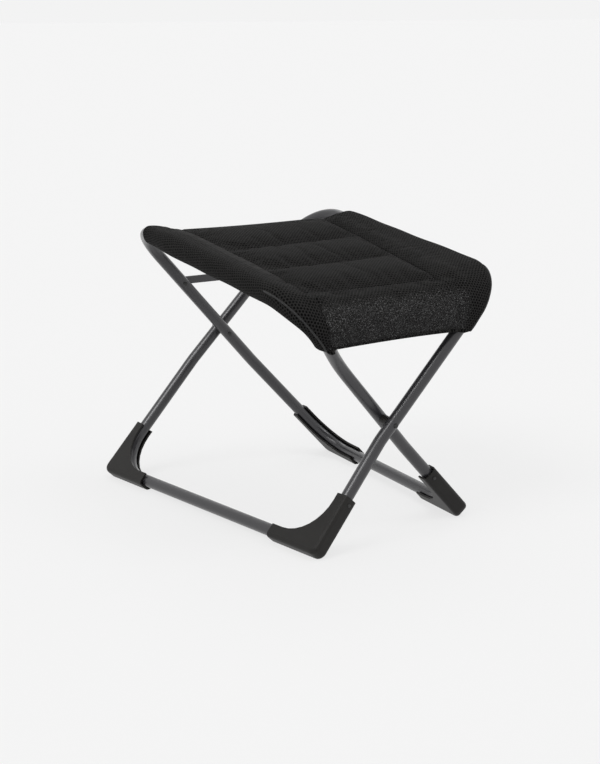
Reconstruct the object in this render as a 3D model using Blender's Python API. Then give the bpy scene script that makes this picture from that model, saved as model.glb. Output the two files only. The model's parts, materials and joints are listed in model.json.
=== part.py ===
"""Folding camp stool: two crossed round-tube loops, corner foot caps, a folding brace and a padded seat.

Metres, +Z up, front towards -Y. The origin is on the floor, under the middle of the open stool.
Each frame loop is drawn in its own plane, under an empty on the pivot axis:
local X runs along the axis to the front, local Y up the loop, local Z is the plane's normal.
The seat is drawn under a third empty: local X across, local Y to the rear, local Z away from the axis.
"""

import math

import bmesh
import bpy
from mathutils import Matrix, Vector

# Stance
PIVOT_HEIGHT = 0.2055
AXIS_SLOPE = math.radians(6.75)
SPREAD = math.radians(42.4)  # each loop's lean from the middle plane
FOOT_AXIS_HEIGHT = 0.0147  # bottom tube's centre above the floor
PIVOT_X, PIVOT_Y = 0.0034, 0.0076  # centres the whole stool's box on the origin

# Round tube
TUBE_R = 0.0095
TUBE_WALL = 0.0012
TUBE_SIDES = 16
ARC_STEP = math.radians(12)
LEG_BEND = 0.072
FRONT_BEND = 0.065
REAR_BEND = 0.078
KINK_BEND = 0.090
SWEEP_BEND = 0.150  # where the inner loop sweeps forward below its front bend
GAP = 0.0003

# Loops, in their own planes: axis position and height above the pivot axis
INNER_PIVOT = 0.2250
OUTER_PIVOT = 0.2550
TOP_BAR = 0.2710
INNER_REAR_LEAN = 0.058
OUTER_REAR_LEAN = 0.008
TOP_FRONTS = {"inner": 0.2890, "outer": 0.2375}
INNER_REAR_KINK = 0.0734
OUTER_REAR_KINK = 0.0700
OUTER_FRONT_KINK = 0.0310
INNER_FRONT_KINK = 0.0750
INNER_FRONT_SWEEP = 0.1253
INNER_FRONT_LEAN = -0.0085
OUTER_FRONT_LEAN = 0.063
FOOT_STATIONS = {"inner": (-0.1695, 0.2429), "outer": (-0.2324, 0.2912)}
JOINT_GAP = 0.0006  # where a loop's two tube ends meet, under the seat sleeve
SPIGOT_LENGTH = 0.070

# Foot caps
CAP_WALL = 0.003
CAP_LIP = 0.008  # how far the side walls pass the tube's centre
CAP_LEG_ARM = 0.086
CAP_BAR_ARM = 0.097
CAP_ROUND = 0.0065
RIVET_FROM_END = 0.010
RIVET_R = 0.0015
RIVET_HEAD_R = 0.0030
RIVET_HEAD = 0.0012

# Pivots
BOLT_R = 0.0025
BOLT_HEAD_R = 0.0038
BOLT_HEAD = 0.0018
NUT_R = 0.0048
NUT_LENGTH = 0.0042
SADDLE_R = 0.0075
ROUND_SIDES = 16

# Folding brace at the rear
BRACE_RADIUS = 0.1276  # from the pivot axis to each end bolt
LINK_WIDTH = 0.013
LINK_THICK = 0.0014
LINK_CLEAR = 0.0003
LINK_OFF_TUBE = 0.0002
MID_RIVET_R = 0.0050
MID_RIVET_HEAD = 0.0003
WASHER_R = 0.0055

# Seat
SLEEVE_BORE = 0.0110
SLEEVE_R = 0.0160
SLEEVE_CLEAR = 0.0008
SEAT_REAR = -0.168
SEAMS = (-0.163, -0.047, 0.070, 0.176)
SEAT_DROP = 0.165  # lower end of the front, height above the pivot axis in the loop's plane
PAD_HALF = 0.1325
BACKING = (-0.0125, -0.0090)
PAD = (-0.0085, 0.0060)
BOLSTER = (-0.0085, 0.0100)
FRONT_ROLL = (-0.0085, 0.0120)
SEAM_GAP = 0.0008
BEND_STEPS = 10
ROLL_INSET = 0.007  # room for the two front bends, which don't lie quite behind each other

AXIS = Vector((0, -math.cos(AXIS_SLOPE), -math.sin(AXIS_SLOPE)))
RISE = Vector((0, -math.sin(AXIS_SLOPE), math.cos(AXIS_SLOPE)))
ACROSS = Vector((1, 0, 0))
ORIGIN = Vector((PIVOT_X, PIVOT_Y, PIVOT_HEIGHT))

FINISHES = {
    "tube": ((0.075, 0.078, 0.085), 0.75, 0.34),
    "cap_plastic": ((0.030, 0.028, 0.029), 0.0, 0.62),
    "fastener": ((0.020, 0.020, 0.022), 0.6, 0.40),
    "link_steel": ((0.060, 0.062, 0.068), 0.8, 0.38),
    "air_mesh": ((0.012, 0.012, 0.013), 0.0, 0.85),
    "backing_cloth": ((0.020, 0.020, 0.021), 0.0, 0.90),
}


def clear_scene():
    for obj in list(bpy.data.objects):
        bpy.data.objects.remove(obj, do_unlink=True)


def finish(name):
    """The named material, made on its first use."""
    found = bpy.data.materials.get(name)
    if found:
        return found
    colour, metallic, roughness = FINISHES[name]
    made = bpy.data.materials.new(name)
    made.use_nodes = True
    shader = made.node_tree.nodes["Principled BSDF"]
    shader.inputs["Base Color"].default_value = (*colour, 1)
    shader.inputs["Metallic"].default_value = metallic
    shader.inputs["Roughness"].default_value = roughness
    return made


def empty(name, x_axis, y_axis, z_axis):
    """An empty on the middle of the pivot axis with these world axes."""
    made = bpy.data.objects.new(name, None)
    made.empty_display_size = 0.05
    bpy.context.collection.objects.link(made)
    basis = Matrix((x_axis, y_axis, z_axis)).transposed().to_4x4()
    made.matrix_world = Matrix.Translation(ORIGIN) @ basis
    return made


def solid(name, shape, parent, slot):
    """A node from a bmesh drawn in its parent's coordinates."""
    bmesh.ops.remove_doubles(shape, verts=shape.verts, dist=1e-7)
    bmesh.ops.recalc_face_normals(shape, faces=shape.faces)
    mesh = bpy.data.meshes.new(name)
    shape.to_mesh(mesh)
    shape.free()
    mesh.shade_smooth()
    mesh.set_sharp_from_angle(angle=math.radians(35))
    mesh.materials.append(finish(slot))
    made = bpy.data.objects.new(name, mesh)
    bpy.context.collection.objects.link(made)
    made.parent = parent
    return made


def cut(target, shape, parent, label):
    """Subtracts a bmesh, as a hidden cutter with an exact Boolean."""
    cutter = solid(f"cutter_{target.name}_{label}", shape, parent, "fastener")
    cutter.hide_render = True
    cutter.display_type = "WIRE"
    modifier = target.modifiers.new(label, "BOOLEAN")
    modifier.operation = "DIFFERENCE"
    modifier.solver = "EXACT"
    modifier.object = cutter


def rounded(corners, closed):
    """Points of a planar path through (x, y, bend radius) corners, with round bends."""
    points = []
    count = len(corners)
    for i, (x, y, radius) in enumerate(corners):
        here = Vector((x, y))
        if not closed and i in (0, count - 1):
            points.append(here)
            continue
        back = (Vector(corners[i - 1][:2]) - here).normalized()
        ahead = (Vector(corners[(i + 1) % count][:2]) - here).normalized()
        half = back.angle(ahead) / 2
        centre = here + (back + ahead).normalized() * radius / math.sin(half)
        start = here + back * radius / math.tan(half) - centre
        turn = start.angle_signed(here + ahead * radius / math.tan(half) - centre)
        steps = max(2, math.ceil(abs(turn) / ARC_STEP))
        for k in range(steps + 1):
            points.append(centre + Matrix.Rotation(-turn * k / steps, 2) @ start)
    return points


def bridge_tube(shape, rings, closed):
    """Skins neighbouring rings of vertices; an open skin is left without end faces."""
    last = len(rings) if closed else len(rings) - 1
    for i in range(last):
        ring, after = rings[i], rings[(i + 1) % len(rings)]
        for k in range(len(ring)):
            nxt = (k + 1) % len(ring)
            shape.faces.new((ring[k], ring[nxt], after[nxt], after[k]))


def path_rings(shape, points, radius, sides, closed):
    """A ring of vertices round each point of a path in the XY plane."""
    rings = []
    for i, point in enumerate(points):
        before = points[i - 1] if closed or i else point
        after = points[(i + 1) % len(points)] if closed or i < len(points) - 1 else point
        along = (after - before).normalized()
        side = Vector((-along.y, along.x, 0))
        ring = []
        for k in range(sides):
            angle = 2 * math.pi * (k + 0.5) / sides
            offset = side * math.cos(angle) + Vector((0, 0, 1)) * math.sin(angle)
            ring.append(shape.verts.new(point.to_3d() + offset * radius))
        rings.append(ring)
    return rings


def hollow_tube(points, radius, bore, sides):
    """An open-ended tube along a path in the XY plane."""
    shape = bmesh.new()
    outside = path_rings(shape, points, radius, sides, False)
    inside = path_rings(shape, points, bore, sides, False)
    bridge_tube(shape, outside, False)
    bridge_tube(shape, inside, False)
    for end in (0, -1):
        bridge_tube(shape, [outside[end], inside[end]], False)
    return shape


def rod(start, profile, sides=ROUND_SIDES):
    """A solid turned about local X: profile is (distance along X, radius) from start."""
    shape = bmesh.new()
    rings = []
    for along, radius in profile:
        ring = []
        for k in range(sides):
            angle = 2 * math.pi * (k + 0.5) / sides
            offset = Vector((along, radius * math.cos(angle), radius * math.sin(angle)))
            ring.append(shape.verts.new(Vector(start) + offset))
        rings.append(ring)
    bridge_tube(shape, rings, False)
    shape.faces.new(rings[0])
    shape.faces.new(rings[-1])
    return shape


def plate(outline, low, high):
    """A flat solid: an outline in XY between two Z levels."""
    shape = bmesh.new()
    base = shape.faces.new([shape.verts.new((x, y, low)) for x, y in outline])
    grown = bmesh.ops.extrude_face_region(shape, geom=[base])["geom"]
    top = [v for v in grown if isinstance(v, bmesh.types.BMVert)]
    bmesh.ops.translate(shape, verts=top, vec=(0, 0, high - low))
    return shape


def foot_height(station):
    """Height in the loop's plane of the level bottom tube, at a distance along the axis."""
    drop = FOOT_AXIS_HEIGHT - PIVOT_HEIGHT + station * math.sin(AXIS_SLOPE)
    return drop / (math.cos(AXIS_SLOPE) * math.cos(SPREAD))


def loop_corners(side):
    """The loop's corners as (x, y, bend radius): rear top, front top, then down and back."""
    rear_foot, front_foot = FOOT_STATIONS[side]
    feet = [
        (front_foot, foot_height(front_foot), LEG_BEND),
        (rear_foot, foot_height(rear_foot), LEG_BEND),
    ]
    if side == "inner":
        top = -INNER_PIVOT - INNER_REAR_LEAN * TOP_BAR
        front = [
            (INNER_PIVOT - INNER_FRONT_LEAN * height, height, radius)
            for height, radius in ((INNER_FRONT_SWEEP, SWEEP_BEND), (-INNER_FRONT_KINK, KINK_BEND))
        ]
        rear_kink = (-INNER_PIVOT + INNER_REAR_LEAN * INNER_REAR_KINK, -INNER_REAR_KINK)
    else:
        top = -OUTER_PIVOT - OUTER_REAR_LEAN * TOP_BAR
        kink = OUTER_PIVOT + OUTER_FRONT_LEAN * OUTER_FRONT_KINK
        front = [(kink, -OUTER_FRONT_KINK, KINK_BEND)]
        rear_kink = (-OUTER_PIVOT + OUTER_REAR_LEAN * OUTER_REAR_KINK, -OUTER_REAR_KINK)
    return [
        (top, TOP_BAR, REAR_BEND),
        (TOP_FRONTS[side], TOP_BAR, FRONT_BEND),
        *front,
        *feet,
        (*rear_kink, KINK_BEND),
    ]


def make_tube(side, parent):
    """One bent tube, whose two ends meet in the middle of the top bar on a hidden spigot."""
    around = rounded(loop_corners(side), True)
    # The path starts at the rear top bend, so the split in the top bar follows that bend.
    split = next(i for i, p in enumerate(around) if p.x > around[0].x and p.x > 0)
    ordered = around[split:] + around[:split]
    ends = [Vector((JOINT_GAP / 2, TOP_BAR))], [Vector((-JOINT_GAP / 2, TOP_BAR))]
    points = ends[0] + ordered + ends[1]
    tube = solid(
        f"{side}_frame_tube",
        hollow_tube(points, TUBE_R, TUBE_R - TUBE_WALL, TUBE_SIDES),
        parent,
        "tube",
    )
    spigot_r = TUBE_R - TUBE_WALL - GAP
    ring = [Vector((x * SPIGOT_LENGTH / 2, TOP_BAR)) for x in (-1, 1)]
    solid(
        f"{side}_frame_spigot",
        hollow_tube(ring, spigot_r, spigot_r - TUBE_WALL, TUBE_SIDES),
        parent,
        "tube",
    )
    return tube


def drill(target, parent, label, start, length, radius):
    """A hole along local X."""
    cut(target, rod(start, [(0, radius), (length, radius)]), parent, label)


def leg_station(side, end, height):
    """Distance along the axis of a leg's centre near the pivots, at a height in the plane."""
    if end == "rear" and side == "inner":
        return -INNER_PIVOT - INNER_REAR_LEAN * height
    if end == "rear":
        return -OUTER_PIVOT - OUTER_REAR_LEAN * height
    return INNER_PIVOT if side == "inner" else OUTER_PIVOT


class FootCorner:
    """A bottom corner of a loop: where its leg and bar lines meet, and their directions."""

    def __init__(self, side, end):
        corners = [Vector(c[:2]) for c in loop_corners(side)]
        above_front, front, rear, above_rear = corners[-4:]
        if end == "front":
            self.at, leg, bar = front, above_front, rear
        else:
            self.at, leg, bar = rear, above_rear, front
        self.leg = (leg - self.at).normalized()
        self.bar = (bar - self.at).normalized()
        inward = (self.leg + self.bar).normalized()
        self.leg_out = self.outward(self.leg, inward)
        self.bar_out = self.outward(self.bar, inward)
        self.half = self.leg.angle(self.bar) / 2
        self.centre = self.at + inward * LEG_BEND / math.sin(self.half)

    @staticmethod
    def outward(along, inward):
        normal = Vector((-along.y, along.x))
        return -normal if normal.dot(inward) > 0 else normal

    def offset_corner(self, offset, radius):
        """The corner of the two lines moved outwards, as (x, y, bend radius)."""
        inward = (self.leg + self.bar).normalized()
        moved = self.at - inward * offset / math.sin(self.half)
        return (moved.x, moved.y, radius)

    def outer_line(self, offset, leg_arm, bar_arm, radius):
        """From the leg arm's end round the corner to the bar arm's end."""
        start = self.at + self.leg * leg_arm + self.leg_out * offset
        stop = self.at + self.bar * bar_arm + self.bar_out * offset
        return rounded([(*start, 0), self.offset_corner(offset, radius), (*stop, 0)], False)

    def inner_line(self, lip):
        """The side walls' concave edge, from the bar arm's end to the leg arm's end."""
        corner = self.offset_corner(-lip, LEG_BEND - lip)
        start = self.at + self.bar * CAP_BAR_ARM - self.bar_out * lip
        stop = self.at + self.leg * CAP_LEG_ARM - self.leg_out * lip
        return rounded([(*start, 0), corner, (*stop, 0)], False)


def make_cap(side, end, parent, tube):
    """A moulded corner shoe: a channel round the outside of the bend, open to the inside."""
    corner = FootCorner(side, end)
    reach = TUBE_R + GAP
    half = reach + CAP_WALL
    outer = corner.outer_line(half, CAP_LEG_ARM, CAP_BAR_ARM, half)
    shape = plate(outer + corner.inner_line(CAP_LIP), -half, half)
    rims = []
    for edge in shape.edges:
        a, b = (v.co for v in edge.verts)
        level = abs(a.z - b.z) < 1e-6
        on_outer = all(min((Vector(v[:2]) - p).length for p in outer) < 1e-5 for v in (a, b))
        if level and on_outer and (a - b).length > 1e-6:
            rims.append(edge)
    crosses = (outer[0] - outer[-1]).length
    rims = [e for e in rims if e.calc_length() < crosses * 0.99]
    bmesh.ops.bevel(shape, geom=rims, offset=CAP_ROUND, segments=4, profile=0.5, affect="EDGES")
    cap = solid(f"foot_cap_{side}_{end}", shape, parent, "cap_plastic")

    beyond = 0.02
    hollow = corner.outer_line(reach, CAP_LEG_ARM + beyond, CAP_BAR_ARM + beyond, reach)
    inside = corner.at + corner.leg * CAP_LEG_ARM + corner.bar * CAP_BAR_ARM
    cut(cap, plate([*hollow, inside], -reach, reach), parent, "channel")

    below = bmesh.new()
    bmesh.ops.create_cube(below, size=1.0)
    bmesh.ops.scale(below, vec=(1.0, 1.0, 0.1), verts=below.verts)
    bmesh.ops.translate(below, vec=(0, 0, -0.05), verts=below.verts)
    below.transform(parent.matrix_world.inverted())
    cut(cap, below, parent, "floor")

    # The blind rivet goes square through the leg arm's base and the tube's wall.
    out = corner.leg_out.to_3d()
    spot = corner.at + corner.leg * (CAP_LEG_ARM - RIVET_FROM_END)
    turn = Vector((1, 0, 0)).rotation_difference(out).to_matrix().to_4x4()
    place = Matrix.Translation(spot.to_3d()) @ turn
    inner = TUBE_R - TUBE_WALL - 0.001
    for target in (cap, tube):
        hole = rod((inner - 0.003, 0, 0), [(0, RIVET_R + GAP), (0.012, RIVET_R + GAP)], 10)
        hole.transform(place)
        cut(target, hole, parent, f"rivet_{end}")
    top = half + GAP
    rivet = rod(
        (0, 0, 0),
        [
            (inner, RIVET_R),
            (top, RIVET_R),
            (top, RIVET_HEAD_R),
            (top + RIVET_HEAD * 0.6, RIVET_HEAD_R * 0.9),
            (top + RIVET_HEAD, RIVET_HEAD_R * 0.45),
        ],
        10,
    )
    rivet.transform(place)
    solid(f"cap_rivet_{side}_{end}", rivet, parent, "fastener")


def make_pivot(end, loops, tubes):
    """The bolt, nut and saddle spacers at one crossing. The bolt head faces the front."""
    sign = -1 if end == "rear" else 1
    near, far = sorted((sign * INNER_PIVOT, sign * OUTER_PIVOT), reverse=True)
    head_side, nut_side = near + TUBE_R + GAP, far - TUBE_R - GAP
    for side, tube in tubes.items():
        centre = sign * (INNER_PIVOT if side == "inner" else OUTER_PIVOT)
        start = (centre - 2 * TUBE_R, 0, 0)
        drill(tube, loops[side], f"pivot_{end}", start, 4 * TUBE_R, BOLT_R + GAP)
    solid(
        f"pivot_bolt_{end}",
        rod(
            (head_side, 0, 0),
            [
                (BOLT_HEAD, BOLT_HEAD_R * 0.55),
                (BOLT_HEAD * 0.7, BOLT_HEAD_R * 0.9),
                (0, BOLT_HEAD_R),
                (0, BOLT_R),
                (nut_side - head_side - NUT_LENGTH * 0.7, BOLT_R),
            ],
        ),
        loops["inner"],
        "fastener",
    )
    nut = solid(
        f"pivot_nut_{end}",
        rod(
            (nut_side, 0, 0),
            [
                (0, NUT_R),
                (-NUT_LENGTH * 0.6, NUT_R),
                (-NUT_LENGTH * 0.9, NUT_R * 0.75),
                (-NUT_LENGTH, NUT_R * 0.4),
            ],
        ),
        loops["inner"],
        "fastener",
    )
    blind = NUT_LENGTH * 0.7 + GAP
    drill(nut, loops["inner"], "thread", (nut_side - blind, 0, 0), blind + 0.002, BOLT_R + GAP)
    middle = (near + far) / 2
    for side in ("inner", "outer"):
        centre = sign * (INNER_PIVOT if side == "inner" else OUTER_PIVOT)
        towards = 1 if centre > middle else -1
        face = middle + towards * GAP / 2
        saddle = solid(
            f"pivot_saddle_{side}_{end}",
            rod((face, 0, 0), [(0, SADDLE_R), (centre - face, SADDLE_R)]),
            loops[side],
            "cap_plastic",
        )
        low, high = sorted((face, centre))
        drill(saddle, loops[side], "bore", (low - 0.002, 0, 0), high - low + 0.004, BOLT_R + GAP)
        seat = [Vector((leg_station(side, end, y), y)) for y in (-0.02, 0.02)]
        if end == "front":
            lean = INNER_FRONT_LEAN if side == "inner" else OUTER_FRONT_LEAN
            seat = [Vector((centre - lean * y, y)) for y in (-0.02, 0.02)]
        groove = bmesh.new()
        rings = path_rings(groove, seat, TUBE_R + GAP, TUBE_SIDES, False)
        bridge_tube(groove, rings, False)
        groove.faces.new(rings[0])
        groove.faces.new(rings[-1])
        cut(saddle, groove, loops[side], "tube_seat")


def link_outline(length):
    """A flat bar with round ends between two holes, the first at the origin."""
    half = LINK_WIDTH / 2
    points = []
    for centre, start in ((0.0, math.pi / 2), (length, -math.pi / 2)):
        for k in range(9):
            angle = start + math.pi * k / 8
            points.append((centre + half * math.cos(angle), half * math.sin(angle)))
    return points


def upright(profile, along):
    """A solid turned about a line parallel to local Z; profile is (height, radius)."""
    shape = rod((0, 0, 0), profile)
    turn = Matrix.Rotation(math.radians(-90), 4, "Y")
    shape.transform(Matrix.Translation((along, 0, 0)) @ turn)
    return shape


def make_brace(loops, tubes):
    """Two flat links from the rear legs to a middle rivet; straight when the stool is open.

    Each link's empty sits on its end bolt, at the face towards the other link.
    Local X runs along the link to the middle rivet, local Z away from the other link.
    """
    inner_face = leg_station("inner", "rear", BRACE_RADIUS) - TUBE_R - LINK_OFF_TUBE
    meeting = {"inner": inner_face - LINK_THICK}
    meeting["outer"] = meeting["inner"] - LINK_CLEAR
    length = BRACE_RADIUS * math.sin(SPREAD)
    for side, loop in loops.items():
        hand = 1 if side == "inner" else -1
        pivot = empty(f"brace_link_{side}_pivot", ACROSS * hand, RISE, AXIS * hand)
        pivot.location = loop.matrix_world @ Vector((meeting[side], BRACE_RADIUS, 0))
        bpy.context.view_layer.update()
        link = solid(
            f"brace_link_{side}",
            plate(link_outline(length), 0, LINK_THICK),
            pivot,
            "link_steel",
        )
        for label, along in (("end_hole", 0), ("middle_hole", length)):
            hole = upright([(-0.005, BOLT_R + GAP), (0.010, BOLT_R + GAP)], along)
            cut(link, hole, pivot, label)
        # Each link carries its own half of the middle rivet; the halves stop short of each other.
        shoulder = LINK_THICK + GAP / 2
        half = upright(
            [
                ((GAP - LINK_CLEAR) / 2, BOLT_R),
                (shoulder, BOLT_R),
                (shoulder, MID_RIVET_R),
                (shoulder + MID_RIVET_HEAD * 0.6, MID_RIVET_R * 0.9),
                (shoulder + MID_RIVET_HEAD, MID_RIVET_R * 0.5),
            ],
            length,
        )
        solid(f"brace_middle_rivet_{side}", half, pivot, "fastener")
        make_brace_bolt(side, loop, tubes[side], meeting[side], hand)


def make_brace_bolt(side, loop, tube, face, hand):
    """Holds a link to its leg: through the tube, with a domed head on the tube's far side."""
    centre = leg_station(side, "rear", BRACE_RADIUS)
    start = (centre - 2 * TUBE_R, BRACE_RADIUS, 0)
    drill(tube, loop, "brace", start, 4 * TUBE_R, BOLT_R + GAP)
    head = abs(centre - face) + TUBE_R + GAP
    profile = [
        (hand * (head + BOLT_HEAD), BOLT_HEAD_R * 0.55),
        (hand * (head + BOLT_HEAD * 0.7), BOLT_HEAD_R * 0.9),
        (hand * head, BOLT_HEAD_R),
        (hand * head, BOLT_R),
        (0, BOLT_R),
    ]
    solid(f"brace_bolt_{side}", rod((face, BRACE_RADIUS, 0), profile), loop, "fastener")
    spacing = abs(centre - face) - TUBE_R - LINK_THICK
    if spacing > 2 * GAP + 0.001:
        washer = rod(
            (face + hand * (LINK_THICK + GAP), BRACE_RADIUS, 0),
            [(0, WASHER_R), (hand * (spacing - 2 * GAP), WASHER_R)],
        )
        node = solid(f"brace_spacer_{side}", washer, loop, "cap_plastic")
        drill(node, loop, "bore", (centre - 0.03, BRACE_RADIUS, 0), 0.06, BOLT_R + GAP)


def covered_run(side):
    """The points of a loop's centre line that the seat covers: forward, then down in front."""
    around = rounded(loop_corners(side), True)
    start = next(i for i, p in enumerate(around) if p.x > 0)
    points = [Vector((SEAT_REAR, TOP_BAR))]
    for before, after in zip(around[start:], around[start + 1 :]):
        points.append(before)
        if after.y < SEAT_DROP:
            points.append(before.lerp(after, (before.y - SEAT_DROP) / (before.y - after.y)))
            return points


def make_sleeve(side, loop, hand):
    """The fabric tunnel that the top bar runs through, down past the front bend."""
    skin = hollow_tube(covered_run(side), SLEEVE_R, SLEEVE_BORE, 14)
    solid(f"seat_sleeve_{hand}", skin, loop, "air_mesh")


def evenly(points, count):
    """Points at equal steps along a line of points."""
    lengths = [(b - a).length for a, b in zip(points, points[1:])]
    spaced = []
    for k in range(count + 1):
        left = sum(lengths) * k / count
        for a, b, length in zip(points, points[1:], lengths):
            if left <= length + 1e-9:
                break
            left -= length
        spaced.append(a.lerp(b, min(left / length, 1)))
    return spaced


def seat_path(start, stop):
    """The seat's side view between two stations; without a stop it runs on down the front."""
    sides = [covered_run(side) for side in ("inner", "outer")]
    flat = [Vector((SEAT_REAR, TOP_BAR)), Vector((SEAMS[-1], TOP_BAR))]
    bends = [
        evenly([flat[1], *[point for point in run if point.x > SEAMS[-1]]], BEND_STEPS)
        for run in sides
    ]
    whole = flat + [a.lerp(b, 0.5) for a, b in zip(*bends)][1:]
    run = []
    for before, after in zip(whole, whole[1:]):
        for station in (start, stop):
            if station is not None and before.x <= station < after.x:
                run.append(before.lerp(after, (station - before.x) / (after.x - before.x)))
                if station == stop:
                    return run
        if run:
            run.append(after)
    return run


def seat_slab(name, path, edges, levels, seat, slot):
    """A slab that follows the seat's side view; edges gives its two sides for the room there."""
    shape = bmesh.new()
    rings = []
    for i, point in enumerate(path):
        before, after = path[max(i - 1, 0)], path[min(i + 1, len(path) - 1)]
        along = (after - before).normalized()
        up = Vector((-along.y * math.cos(SPREAD), along.x)).normalized()
        # The sleeves lean with their loops, so they're wider across where they run down.
        lean = along.y * math.sin(SPREAD)
        sleeve = (SLEEVE_R + SLEEVE_CLEAR) / math.sqrt(1 - lean * lean)
        left, right = edges(point.y * math.sin(SPREAD) - sleeve)
        height = point.y * math.cos(SPREAD)
        ring = []
        for x, level in ((left, 0), (right, 0), (right, 1), (left, 1)):
            moved = Vector((point.x, height)) + up * levels[level]
            ring.append(shape.verts.new((x, -moved.x, moved.y)))
        rings.append(ring)
    bridge_tube(shape, rings, False)
    shape.faces.new(rings[0])
    shape.faces.new(rings[-1])
    return solid(name, shape, seat, slot)


def make_seat(seat):
    """The middle of the seat: backing cloth, three padded channels, two bolsters, front roll."""

    def whole(room):
        return -room, room

    def between_bends(room):
        return ROLL_INSET - room, room - ROLL_INSET

    def channel(room):
        return -PAD_HALF, PAD_HALF

    def left_side(room):
        return -room, -PAD_HALF - SEAM_GAP

    def right_side(room):
        return PAD_HALF + SEAM_GAP, room

    rear, front = SEAMS[0], SEAMS[-1]
    flat = seat_path(rear, front - SEAM_GAP)
    seat_slab("seat_backing", flat, whole, BACKING, seat, "backing_cloth")
    for name, start, stop in zip(("rear", "middle", "front"), SEAMS, SEAMS[1:]):
        run = seat_path(start + SEAM_GAP, stop - SEAM_GAP)
        seat_slab(f"seat_channel_{name}", run, channel, PAD, seat, "air_mesh")
    seat_slab("seat_bolster_left", flat, left_side, BOLSTER, seat, "air_mesh")
    seat_slab("seat_bolster_right", flat, right_side, BOLSTER, seat, "air_mesh")
    run = seat_path(front + SEAM_GAP, None)
    seat_slab("seat_front_roll", run, between_bends, FRONT_ROLL, seat, "air_mesh")


def main():
    clear_scene()
    loops = {}
    for side, hand in (("inner", -1), ("outer", 1)):
        up_loop = RISE * math.cos(SPREAD) + ACROSS * hand * math.sin(SPREAD)
        loops[side] = empty(f"{side}_frame_pivot", AXIS, up_loop, AXIS.cross(up_loop))
    seat = empty("seat_plane", ACROSS, -AXIS, RISE)
    bpy.context.view_layer.update()
    tubes = {side: make_tube(side, loop) for side, loop in loops.items()}
    for side, loop in loops.items():
        for end in ("rear", "front"):
            make_cap(side, end, loop, tubes[side])
    for end in ("rear", "front"):
        make_pivot(end, loops, tubes)
    make_brace(loops, tubes)
    make_sleeve("inner", loops["inner"], "left")
    make_sleeve("outer", loops["outer"], "right")
    make_seat(seat)


main()
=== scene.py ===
"""Folding camp stool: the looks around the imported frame. Metres, +Z up, front towards -Y.

The seat is one grid of cloth, laid round both top bars and over the front bend. It is simulated as a
whole under a little pressure, held at its seams, and then cut along those seams into its pieces.
"""

import json
import math

import bpy
import numpy as np
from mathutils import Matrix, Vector


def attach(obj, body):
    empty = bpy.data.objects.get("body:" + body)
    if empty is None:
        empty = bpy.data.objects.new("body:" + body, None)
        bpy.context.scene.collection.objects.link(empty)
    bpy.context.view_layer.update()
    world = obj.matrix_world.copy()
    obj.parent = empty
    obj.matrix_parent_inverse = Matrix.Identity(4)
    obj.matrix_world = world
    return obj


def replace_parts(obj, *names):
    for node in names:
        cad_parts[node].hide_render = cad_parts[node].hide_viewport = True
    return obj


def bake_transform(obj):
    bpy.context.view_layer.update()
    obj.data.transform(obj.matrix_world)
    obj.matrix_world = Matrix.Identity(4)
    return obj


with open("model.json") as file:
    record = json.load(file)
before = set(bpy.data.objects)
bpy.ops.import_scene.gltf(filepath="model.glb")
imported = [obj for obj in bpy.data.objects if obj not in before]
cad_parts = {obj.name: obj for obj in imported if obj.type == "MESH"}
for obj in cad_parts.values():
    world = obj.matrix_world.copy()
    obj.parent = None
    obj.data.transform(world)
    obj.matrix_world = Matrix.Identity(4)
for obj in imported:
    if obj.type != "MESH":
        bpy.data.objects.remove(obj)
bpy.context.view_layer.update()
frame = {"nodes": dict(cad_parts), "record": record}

# The loops, as in the CAD
PIVOT = np.array((0.0034, 0.0076, 0.2055))
AXIS_SLOPE = math.radians(6.75)
SPREAD = math.radians(42.4)
TUBE_R = 0.0095
TOP_BAR = 0.2710
TOP_FRONT = {"inner": 0.2890, "outer": 0.2375}
FRONT_BEND, REAR_BEND, LEG_BEND = 0.065, 0.078, 0.072
KINK_BEND, SWEEP_BEND = 0.090, 0.150
FOOT_AXIS_HEIGHT = 0.0147
FOOT_STATIONS = {"inner": (-0.1695, 0.2429), "outer": (-0.2324, 0.2912)}
TOP_REAR = {"inner": -0.24072, "outer": -0.25717}
FRONT_KINKS = {
    "inner": ((0.22607, 0.1253, SWEEP_BEND), (0.22436, -0.0750, KINK_BEND)),
    "outer": ((0.25695, -0.0310, KINK_BEND),),
}
REAR_KINK = {"inner": (-0.22074, -0.0734), "outer": (-0.25444, -0.0700)}
SEAT_REAR = -0.168
SEAT_DROP = 0.181
AXIS = np.array((0, -math.cos(AXIS_SLOPE), -math.sin(AXIS_SLOPE)))
RISE = np.array((0, -math.sin(AXIS_SLOPE), math.cos(AXIS_SLOPE)))

# The seat, by distance from its rear edge along the top bars; the bars are straight up to STRAIGHT
STRAIGHT = 0.3446
SEAT_LENGTH = 0.479
SEAMS = (0.1300, 0.2470, 0.3720)
SEAM_SKEW = (0.0080, 0.0060, 0.0)
# The side seams: distance from the rear edge, and how far out the left and right ones are there
SIDE_SEAM_AT = (0.0, 0.130, 0.247, 0.372, SEAT_LENGTH)
SIDE_SEAM_LEFT = (0.126, 0.128, 0.131, 0.139, 0.128)
SIDE_SEAM_RIGHT = (0.140, 0.128, 0.111, 0.096, 0.110)
SEAM_SHARE = 0.72  # the side seams' place between the middle and the bars, for masks and cross seams
SLEEVE_R = 0.0160
SLEEVE_SAG = 1.12  # how much further below the bar than above it the sleeve reaches
PAD_RISE = 0.0065
UNDERSIDE = -0.0120
EDGE_D = -0.0020  # where the cloth's rear and lower edges close
EDGE_TURN = 0.006
CLOTH, LINING = 0.0024, 0.0012
GATHER_SPANS = (0.120, 0.117, 0.103, 0.119)  # each panel's length, for its gathers
HALF_SEAT = 0.13
MESH_PITCH = 0.0048

# The cloth simulation
FRAMES = 20
PRESSURE = 3.2
SWELL_CAP = 0.0062

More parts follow.
